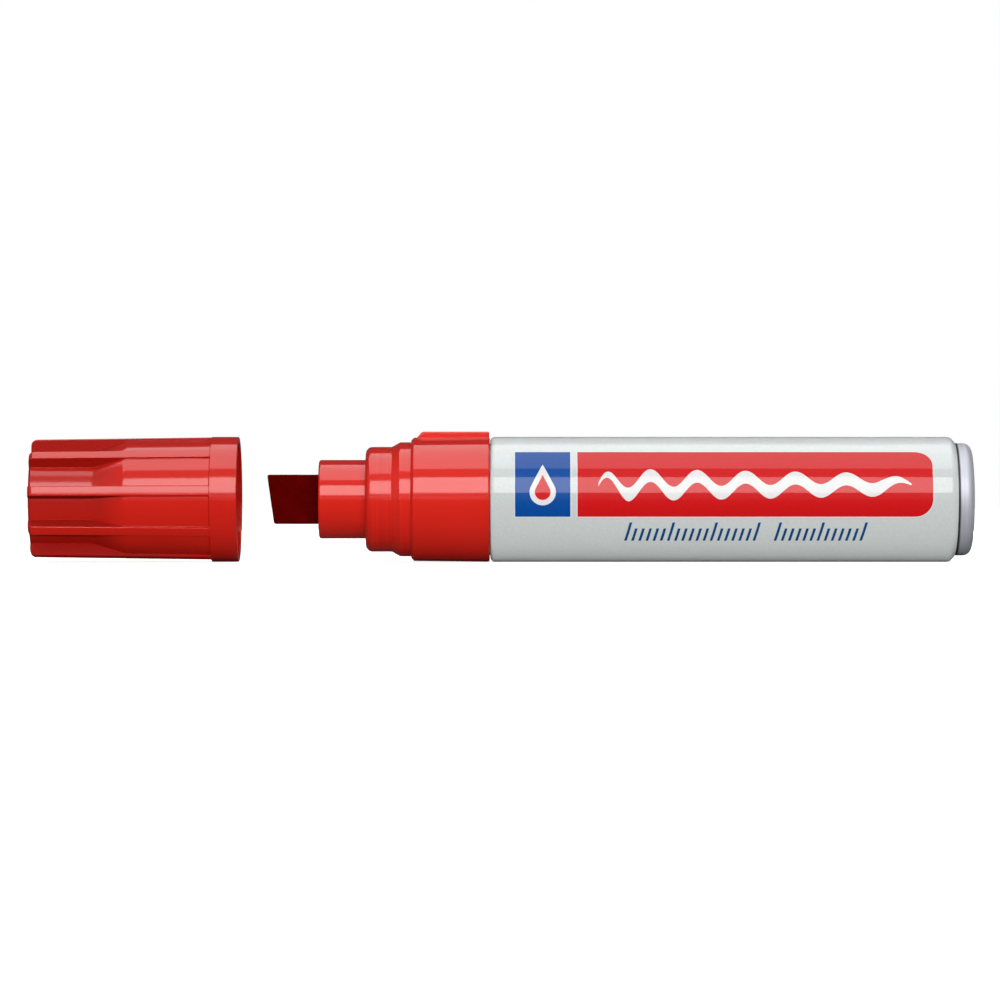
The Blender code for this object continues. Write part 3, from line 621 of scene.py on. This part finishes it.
def make_nib(felt_material):
    """The chisel nib: a rounded bar with a slanted, softened front edge and slightly uneven faces."""
    front_round = 0.42 * MM
    corner = 0.6 * MM
    rings = []
    steps = 5
    for share in (0.25, 0.5, 0.75):
        height, thickness = ((size - 2 * front_round) * share for size in (NIB_HEIGHT, NIB_THICKNESS))
        rings.append(rounded_rectangle(NIB_TIP, height, thickness, corner * share * 0.5, NIB_SLANT, 6, 12))
    rings.insert(0, [Vector((NIB_TIP + NIB_SLANT / 2, 0, AXIS_Z))])
    for i in range(steps + 1):
        angle = math.pi / 2 * i / steps
        inset = front_round * (1 - math.sin(angle))
        x = NIB_TIP + front_round * (1 - math.cos(angle))
        height, thickness = NIB_HEIGHT - 2 * inset, NIB_THICKNESS - 2 * inset
        rings.append(rounded_rectangle(x, height, thickness, corner - inset * 0.6, NIB_SLANT, 6, 12))
    seat = NIB_TIP + 25.15 * MM
    exposed_steps = 36
    for i in range(1, exposed_steps + 1):
        t = i / exposed_steps
        x = NIB_TIP + front_round + t * NIB_EXPOSED
        rings.append(rounded_rectangle(x, NIB_HEIGHT, NIB_THICKNESS, corner, NIB_SLANT * (1 - t), 6, 12))
    rings.append(rounded_rectangle(seat, NIB_HEIGHT, NIB_THICKNESS, corner, 0, 6, 12))
    tail_height, tail_thickness = NIB_HEIGHT - 1.4 * MM, NIB_THICKNESS - 1.4 * MM
    rings.append(rounded_rectangle(seat + 0.02 * MM, tail_height, tail_thickness, corner, 0, 6, 12))
    rings.append(rounded_rectangle(NIB_TAIL_END, tail_height, tail_thickness, corner, 0, 6, 12))
    rings.append([Vector((NIB_TAIL_END, 0, AXIS_Z))])
    bm = skin(rings)
    bm.normal_update()
    for vert in bm.verts:
        if vert.co.x < NIB_TIP + NIB_EXPOSED:
            rough = noise.noise(Vector((vert.co.x * 350, vert.co.y * 1400, vert.co.z * 1400)))
            vert.co -= vert.normal * 0.018 * MM * (1 + rough)
    return add_piece("felt_nib", bm, "nib", [felt_material], ["nib"])


def make_seal(rubber):
    """The flat ring in the collar's rear groove, which the barrel's lip presses on."""
    profile = rounded(
        [
            (SEAL_FRONT, 10.83 * MM, 0.05 * MM),
            (SEAL_FRONT, 11.3 * MM, 0.1 * MM),
            (SEAL_REAR, 11.3 * MM, 0.1 * MM),
            (SEAL_REAR, 10.83 * MM, 0.05 * MM),
        ]
    )
    return add_piece("seal_band", turned(profile), "marker", [rubber], ["sealing_ring"])


def curved_corner(before, corner, after, steps):
    """Points that round a corner, from one point beside it to the other."""
    points = []
    for i in range(steps + 1):
        t = i / steps
        points.append((1 - t) ** 2 * before + 2 * t * (1 - t) * corner + t * t * after)
    return points


def ridge_section(ridge, floor):
    """Half a ridge and half a flute, as (angle from the ridge's middle, distance from the axis)."""
    depth = ridge - floor
    top_half = 0.96 * MM
    foot_half = top_half + 0.07 * depth
    edge = min(0.24 * MM, 0.42 * depth)
    root = min(0.12 * MM, 0.3 * depth)
    top = Vector((top_half, math.sqrt(ridge**2 - top_half**2)))
    foot = Vector((foot_half, math.sqrt(floor**2 - foot_half**2)))
    wall = (foot - top).normalized()
    along_top = Vector((-top.y, top.x)).normalized()
    along_floor = Vector((foot.y, -foot.x)).normalized()
    corner = curved_corner(top + along_top * edge, top, top + wall * edge, 6)
    corner += curved_corner(foot - wall * root, foot, foot + along_floor * root, 5)
    rim = [(math.atan2(u, v), math.hypot(u, v)) for u, v in corner]
    section = [(rim[0][0] * i / 4, ridge) for i in range(4)] + rim
    last = rim[-1][0]
    for i in range(1, 7):
        section.append((last + (RIDGE_PITCH / 2 - last) * i / 6, floor))
    return section


def whole_section(ridge, floor):
    """All the way round the cap, as (angle, distance from the axis)."""
    half = ridge_section(ridge, floor)
    pitch = [(-angle, r) for angle, r in half[:0:-1]] + half[:-1]
    return [
        (FIRST_RIDGE + i * RIDGE_PITCH + angle, r) for i in range(RIDGES) for angle, r in pitch
    ]


def make_cap(red, shaded_wall_red):
    """The cap: grip ridges, deep flutes that ramp out to shallow panels, a plain skirt, and its bores.

    The ridges' walls get the second material: a duller, grainy finish whose darker colour is painted shade.
    """
    ridge_start = RIDGE_RADIUS - CAP_DRAFT
    draft = CAP_DRAFT / CAP_BODY_LENGTH

    def ridge_at(depth):
        radius = ridge_start + draft * depth
        if depth < CAP_END_ROUND:
            radius += math.sqrt(CAP_END_ROUND**2 - (CAP_END_ROUND - depth) ** 2) - CAP_END_ROUND
        return radius

    panel_start = FLUTE_LENGTH + RAMP_LENGTH
    floor_line = rounded(
        [
            (0, FLUTE_RADIUS - 0.28 * MM, 0),
            (0.28 * MM, FLUTE_RADIUS, 0.6 * MM),
            (FLUTE_LENGTH, FLUTE_RADIUS, 3.5 * MM),
            (panel_start, ridge_at(panel_start) - PANEL_DEPTH, 3.5 * MM),
            (CAP_BODY_LENGTH, RIDGE_RADIUS - PANEL_DEPTH, 0),
        ]
    )
    floor_x, floor_r = zip(*floor_line)
    depths = {CAP_END_ROUND * (1 - math.cos(math.radians(10 * i))) for i in range(10)}
    depths |= {x for x in floor_x if x < CAP_BODY_LENGTH - 0.2 * MM}
    depths |= {4 * MM, 8 * MM, 22 * MM, 26 * MM, 30 * MM, CAP_BODY_LENGTH - 0.16 * MM}
    sections = []
    for depth in sorted(depths):
        if sections and depth - sections[-1][0] < 0.01 * MM:
            continue
        floor = float(np.interp(depth, floor_x, floor_r))
        sections.append((depth, whole_section(ridge_at(depth), floor)))

    def circle(x, r, section):
        return [on_axis(x, r, angle) for angle, _ in section]

    end = sections[0][1]
    rings = [[Vector((CAP_END + 0.18 * MM, 0, AXIS_Z))]]
    face = [(0.18, 0.5), (0.22, 0.6), (0.38, 0.75), (0.42, 1.0)]
    face += [(0.42, 6.3), (0.36, 6.6), (0.1, 7.0), (0.0, 7.3)]
    rings += [circle(CAP_END + x * MM, r * MM, end) for x, r in face]
    rings += [[on_axis(CAP_END + depth, r, angle) for angle, r in section] for depth, section in sections]
    last = sections[-1][1]
    for back, share in ((0.12, 0.1), (0.08, 0.35), (0.03, 0.75), (-0.02, 0.93), (-0.08, 1.0)):
        x = CAP_END + CAP_BODY_LENGTH - back * MM
        rings.append([on_axis(x, r + (CAP_SKIRT_RADIUS - r) * share, angle) for angle, r in last])
    bore = rounded(
        [
            (CAP_MOUTH - 2 * MM, CAP_SKIRT_RADIUS, 0),
            (CAP_MOUTH, CAP_SKIRT_RADIUS, 0.25 * MM),
            (CAP_MOUTH, CAP_SKIRT_BORE, 0.2 * MM),
            (CAP_MOUTH - 2.15 * MM, CAP_SKIRT_BORE, 0.3 * MM),
            (CAP_MOUTH - 3.75 * MM, 10.17 * MM, 0.3 * MM),
            (LINER_SEAT, 10.17 * MM, 0.2 * MM),
            (LINER_SEAT, LINER_LIP_RADIUS + 0.1 * MM, 0),
            (LINER_STEP, LINER_LIP_RADIUS + 0.1 * MM, 0),
            (LINER_STEP, LINER_RADIUS + 0.1 * MM, 0),
            (CAP_END + 1.5 * MM, LINER_RADIUS + 0.1 * MM, 0),
            (CAP_END + 1.5 * MM, 0, 0),
        ]
    )
    for x, r in bore[:-1]:
        rings.append(circle(x, r, last))
    rings.append([Vector((bore[-1].x, 0, AXIS_Z))])
    bm = skin(rings)
    bm.normal_update()
    # Faces on the steep ridge walls take the second material, whose darker colour is painted shade.
    for face in bm.faces:
        middle = face.calc_center_median()
        outward = Vector((0, middle.y, middle.z - AXIS_Z))
        if outward.length > FLUTE_RADIUS - 0.3 * MM and middle.x < CAP_MOUTH - CAP_SKIRT_LENGTH - 0.2 * MM:
            steepest = 0.93 if outward.length < RIDGE_RADIUS - 0.75 * MM else 0.6
            if max(abs(face.normal.dot(outward.normalized())), abs(face.normal.x)) < steepest:
                face.material_index = 1
    return add_piece("cap_moulding", bm, "cap", [red, shaded_wall_red], ["cap_shell"])


def make_liner(white):
    """The inner cap that seals on the nose."""
    end = CAP_END + 1.6 * MM
    mouth = LINER_SEAT - 0.1 * MM
    step = LINER_STEP + 0.1 * MM
    wall = 0.9 * MM
    profile = rounded(
        [
            (end, 0, 0),
            (end, LINER_RADIUS, 0.5 * MM),
            (step, LINER_RADIUS, 0.1 * MM),
            (step, LINER_LIP_RADIUS, 0.2 * MM),
            (mouth, LINER_LIP_RADIUS, 0.25 * MM),
            (mouth, LINER_LIP_BORE, 0.35 * MM),
            (step + wall, LINER_LIP_BORE, 0.2 * MM),
            (step + wall, LINER_BORE, 0.3 * MM),
            (end + wall, LINER_BORE, 1.2 * MM),
            (end + wall, 0, 0),
        ]
    )
    return add_piece("cap_inner", turned(profile, 128), "cap", [white], ["cap_liner"])


# ---------------------------------------------------------------- print on the barrel

PRINT_LOW = math.radians(-16)
PRINT_HIGH = math.radians(48.5)
INK_THICKNESS = 0.012 * MM


def print_patch(columns, layer, rows=26):
    """A thin patch of ink on the barrel. columns are (x, low, high), with the angles measured up from -Y."""
    floor = BARREL_RADIUS + (0.004 + 0.016 * layer) * MM
    top = floor + INK_THICKNESS
    bm = bmesh.new()
    grids = []
    for radius in (floor, top):
        grid = []
        for x, low, high in columns:
            angles = [math.pi - (low + (high - low) * row / rows) for row in range(rows + 1)]
            grid.append([bm.verts.new(on_axis(x, radius, angle)) for angle in angles])
        grids.append(grid)
    under, over = grids
    last_column, last_row = len(columns) - 1, rows
    for i in range(last_column):
        for j in range(last_row):
            for grid in grids:
                bm.faces.new((grid[i][j], grid[i + 1][j], grid[i + 1][j + 1], grid[i][j + 1]))
        for j in (0, last_row):
            bm.faces.new((under[i][j], under[i + 1][j], over[i + 1][j], over[i][j]))
    for i in (0, last_column):
        for j in range(last_row):
            bm.faces.new((under[i][j], under[i][j + 1], over[i][j + 1], over[i][j]))
    return bm


def merged(patches):
    """Several patches as one mesh."""
    whole = bmesh.new()
    for patch in patches:
        mesh = bpy.data.meshes.new("patch")
        patch.to_mesh(mesh)
        patch.free()
        whole.from_mesh(mesh)
        bpy.data.meshes.remove(mesh)
    return whole


def rounded_box(x_low, x_high, low, high, left, right, steps=10):
    """Columns of a rectangle whose left and right corners have these radii."""
    columns = []
    for side, corner in ((-1, left), (1, right)):
        column_steps = range(steps + 1) if corner > 0 else (steps,)
        for i in column_steps:
            turn = math.pi / 2 * i / steps
            inset = corner * (1 - math.sin(turn))
            back = corner * (1 - math.cos(turn))
            shrink = inset / BARREL_RADIUS
            x = x_low + back if side < 0 else x_high - back
            columns.append((x, low + shrink, high - shrink))
    half = steps + 1 if left > 0 else 1
    return columns[:half] + columns[half:][::-1]


def make_prints():
    """Generic graphics in the places of the real ones: a red panel with a pen line, and a blue square."""
    red = printed_ink("ink_red", (0.61, 0.0065, 0.0085), (0.58, 0.0055, 0.0070))
    blue = printed_ink("ink_blue", (0.0008, 0.068, 0.320), (0.0007, 0.062, 0.295))
    white = printed_ink("ink_white", (0.77, 0.77, 0.76), (0.72, 0.72, 0.71))
    navy = printed_ink("ink_navy", (0.008, 0.075, 0.240), (0.006, 0.060, 0.200))
    ring = 0.16 * MM
    panel = (14.5 * MM, 82.1 * MM)
    square = (2.62 * MM, 13.15 * MM)
    corner = 3.4 * MM
    margin = ring / BARREL_RADIUS
    keyline = [
        print_patch(
            rounded_box(
                low_x - ring, high_x + ring, PRINT_LOW - margin, PRINT_HIGH + margin, 0.2 * MM, right + ring
            ),
            0,
        )
        for low_x, high_x, right in ((*panel, corner), (*square, 0.1 * MM))
    ]
    add_piece("print_keyline", merged(keyline), "marker", [white])
    red_patch = print_patch(rounded_box(*panel, PRINT_LOW, PRINT_HIGH, 0, corner), 1)
    add_piece("print_panel", red_patch, "marker", [red])
    blue_patch = print_patch(rounded_box(*square, PRINT_LOW, PRINT_HIGH, 0, 0), 1)
    add_piece("print_square", blue_patch, "marker", [blue])

    middle = math.radians(13.5)
    wave = []
    start, end = 18.5 * MM, 78.0 * MM
    count = 260
    for i in range(count + 1):
        t = i / count
        x = start + (end - start) * t
        swing = math.radians(9.6) * (1 - 0.55 * t)
        thick = math.radians(6.2) * min(1, 8 * t + 0.25, 9 * (1 - t) + 0.12)
        centre = middle + swing * math.sin(math.tau * 6.5 * t**0.92)
        wave.append((x, centre - thick, centre + thick))
    add_piece("print_pen_line", print_patch(wave, 2, 8), "marker", [white])

    drop_x = sum(square) / 2
    for name, scale, layer, ink in (("print_drop", 1.0, 2, white), ("print_drop_core", 0.6, 3, red)):
        drop = print_patch(drop_columns(drop_x, middle, scale), layer, 14)
        add_piece(name, drop, "marker", [ink])

    ticks = []
    foot, short, tall = (math.radians(angle) for angle in (-41, -27.5, -21.5))
    for group_start, group in ((23.4, 19), (51.9, 13)):
        for i in range(group):
            ticks.append(slanted_tick((group_start + 1.36 * i) * MM, foot, tall if i % 6 == 0 else short))
    add_piece("print_ticks", merged(ticks), "marker", [navy])


def drop_columns(x_middle, middle, scale, steps=40):
    """Columns of an upright drop: a round belly, with straight sides that meet at a tip."""
    belly = 2.5 * MM * scale
    tip = 5.6 * MM * scale
    touch = belly * math.sqrt(1 - (belly / tip) ** 2)
    touch_height = belly**2 / tip
    sunk = math.radians(7)
    columns = []
    for i in range(steps + 1):
        dx = -belly * math.cos(math.pi * i / steps)
        round_half = math.sqrt(max(0.0, belly**2 - dx**2))
        high = tip - abs(dx) * (tip - touch_height) / touch if abs(dx) < touch else round_half
        low_angle = middle - sunk - round_half / BARREL_RADIUS
        columns.append((x_middle + dx, low_angle, middle - sunk + (high + 0.02 * MM) / BARREL_RADIUS))
    return columns


def slanted_tick(x, low, high, width=0.5 * MM, lean=0.25, rows=8):
    """One slanted stroke of ink."""
    floor = BARREL_RADIUS + 0.004 * MM
    bm = bmesh.new()
    corners = []
    for row in range(rows + 1):
        angle = low + (high - low) * row / rows
        shift = lean * (angle - low) * BARREL_RADIUS
        for radius in (floor, floor + INK_THICKNESS):
            for dx in (0, width):
                corners.append(bm.verts.new(on_axis(x + shift + dx, radius, math.pi - angle)))
    for row in range(rows):
        a, b = corners[4 * row : 4 * row + 4], corners[4 * row + 4 : 4 * row + 8]
        for i, j in ((0, 1), (1, 3), (3, 2), (2, 0)):
            bm.faces.new((a[i], a[j], b[j], b[i]))
    for ends in (corners[:4], corners[-4:]):
        bm.faces.new((ends[0], ends[1], ends[3], ends[2]))
    return bm


# ---------------------------------------------------------------- studio


def add_light(name, location, target, size, radiance, diffuse=True, glossy=True):
    """A rectangular soft light of even radiance. size is (across, along)."""
    data = bpy.data.lights.new(name, "AREA")
    data.shape = "RECTANGLE"
    data.size, data.size_y = size
    data.energy = math.pi * size[0] * size[1] * radiance
    lamp = bpy.data.objects.new(name, data)
    lamp.location = location
    lamp.rotation_euler = (Vector(target) - Vector(location)).to_track_quat("-Z", "Y").to_euler()
    lamp.visible_camera = False
    lamp.visible_diffuse = diffuse
    lamp.visible_glossy = glossy
    bpy.context.scene.collection.objects.link(lamp)
    return lamp


def make_studio():
    """White surroundings, a pale floor, two softboxes that draw the bands of gloss, and soft fill."""
    scene = bpy.context.scene
    scene.view_settings.view_transform = "Standard"
    world = bpy.data.worlds.new("studio")
    scene.world = world
    world.use_nodes = True
    tree = world.node_tree
    tree.nodes.clear()
    path = add_node(tree, "ShaderNodeLightPath")
    sky = add_node(tree, "ShaderNodeTexCoord").outputs["Generated"]
    way = add_node(tree, "ShaderNodeSeparateXYZ", {0: sky})
    dim_behind = remapped(tree, way.outputs["Y"], 0.4, 0.08, -0.5, 0.4)
    cool_white = (0.97, 0.985, 1, 1)
    even = add_node(tree, "ShaderNodeBackground", {"Color": cool_white, "Strength": 0.35})
    graded = add_node(tree, "ShaderNodeBackground", {"Color": cool_white, "Strength": dim_behind})
    seen = add_node(tree, "ShaderNodeBackground", {"Color": (1, 1, 1, 1), "Strength": 1.0})
    lit = even.outputs[0]
    for ray, background in (("Is Glossy Ray", graded), ("Is Camera Ray", seen)):
        inputs = {0: path.outputs[ray], 1: lit, 2: background.outputs[0]}
        lit = add_node(tree, "ShaderNodeMixShader", inputs).outputs[0]
    add_node(tree, "ShaderNodeOutputWorld", {"Surface": lit})

    floor_bm = bmesh.new()
    bmesh.ops.create_grid(floor_bm, x_segments=2, y_segments=2, size=FLOOR_REACH)
    mesh = bpy.data.meshes.new("floor")
    floor_bm.to_mesh(mesh)
    floor_bm.free()
    floor = bpy.data.objects.new("floor", mesh)
    floor.location.z = cad_bounds[0][2] - FLOOR_CLEARANCE
    scene.collection.objects.link(floor)
    material, tree, shader = new_material(
        "pale_floor", (0.9, 0.9, 0.9), roughness=0.9, specular_ior_level=0.0
    )
    shader.inputs["Emission Color"].default_value = (1, 1, 1, 1)
    reach = add_node(tree, "ShaderNodeVectorMath", {0: object_coords(tree)}, operation="LENGTH")
    glow = remapped(tree, reach.outputs["Value"], 0.62, 0.88, 0.3, 1.5)
    tree.links.new(glow, shader.inputs["Emission Strength"])
    dim = add_node(tree, "ShaderNodeBsdfDiffuse", {"Color": (0.16, 0.16, 0.16, 1)})
    path = add_node(tree, "ShaderNodeLightPath")
    shown = {0: path.outputs["Is Camera Ray"], 1: dim.outputs[0], 2: shader.outputs[0]}
    mix = add_node(tree, "ShaderNodeMixShader", shown)
    tree.links.new(mix.outputs[0], tree.nodes["Material Output"].inputs["Surface"])
    mesh.materials.append(material)

    centre = (0, 0, AXIS_Z)
    add_light("overhead_gloss", (0, -0.006, 0.6), (0, -0.006, 0), (0.84, 0.718), 2.3, diffuse=False)
    away, up = (GLOSS_DISTANCE * turn(GLOSS_ELEVATION) for turn in (math.cos, math.sin))
    front = (0, -away, AXIS_Z + up)
    add_light("front_gloss", front, centre, (1.2, 0.466), 5.0, diffuse=False)
    add_light("front_fill", (0, -1.1, 0.085), centre, (1.4, 0.13), 19.5, glossy=False)
    add_light("top_fill", (0, -0.3, 0.85), centre, (1.2, 1.2), 0.64, glossy=False)
    add_light("back_fill", (0, 1.0, 0.3), centre, (1.2, 0.5), 4.5, glossy=False)


def make_camera():
    data = bpy.data.cameras.new("camera")
    data.sensor_width = SENSOR_WIDTH
    data.lens = SENSOR_WIDTH * VIEW_DISTANCE / VIEW_WIDTH
    data.clip_start = 0.01
    camera = bpy.data.objects.new("camera", data)
    camera.location = (VIEW_OFFSET_X, -VIEW_DISTANCE, AXIS_Z + VIEW_OFFSET_Z)
    camera.rotation_euler = (math.pi / 2, 0, 0)
    bpy.context.scene.collection.objects.link(camera)
    bpy.context.scene.camera = camera


def main():
    rings = (RING_FRONT, COLLAR_FRONT)
    housing_red = moulded_plastic(
        "housing_red", (0.68, 0.0170, 0.0085), (0.65, 0.0145, 0.0070), 0.06, 0.11, streaked=rings
    )
    # The cap's red darkens towards these radii, the flutes' floors, as painted shade.
    flutes = (9.8 * MM, 11.1 * MM)
    cap_red = moulded_plastic(
        "cap_red", (0.61, 0.0135, 0.0065), (0.575, 0.0115, 0.0050), 0.05, 0.17, patches=2800, recess=flutes
    )
    # The ridge walls' darker red is painted shade; the dullness and grain are the mould's.
    cap_shaded_wall_red = coarse_plastic("cap_red_coarse_shaded", (0.42, 0.009, 0.005), (0.24, 0.005, 0.003))
    rubber = soft_plastic("seal_rubber", (0.03, 0.012, 0.012), (0.02, 0.01, 0.01), 0.8)
    liner = soft_plastic("liner_plastic", (0.80, 0.80, 0.78), (0.74, 0.74, 0.71), 0.42)
    make_barrel(lacquered_metal(), bare_metal())
    make_housing(housing_red)
    make_nib(felt())
    make_seal(rubber)
    make_cap(cap_red, cap_shaded_wall_red)
    make_liner(liner)
    make_prints()

    inner = {
        "nib_holder": soft_plastic("holder_plastic", (0.75, 0.76, 0.75), (0.70, 0.71, 0.70), 0.45),
        "reservoir_core": soft_plastic("ink_fibre", (0.30, 0.008, 0.008), (0.16, 0.004, 0.004), 0.9, 2400),
        "reservoir_wrap": soft_plastic("wrap_film", (0.85, 0.86, 0.88), (0.80, 0.81, 0.84), 0.2),
        "breather_strip": soft_plastic("strip_plastic", (0.90, 0.90, 0.90), (0.84, 0.84, 0.84), 0.4),
        "rear_spacer": soft_plastic("spacer_plastic", (0.70, 0.70, 0.70), (0.64, 0.64, 0.64), 0.45),
    }
    for name, material in inner.items():
        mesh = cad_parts[name].data
        if not mesh.materials:
            mesh.materials.append(material)
        for i in range(len(mesh.materials)):
            mesh.materials[i] = material

    make_studio()
    make_camera()


main()
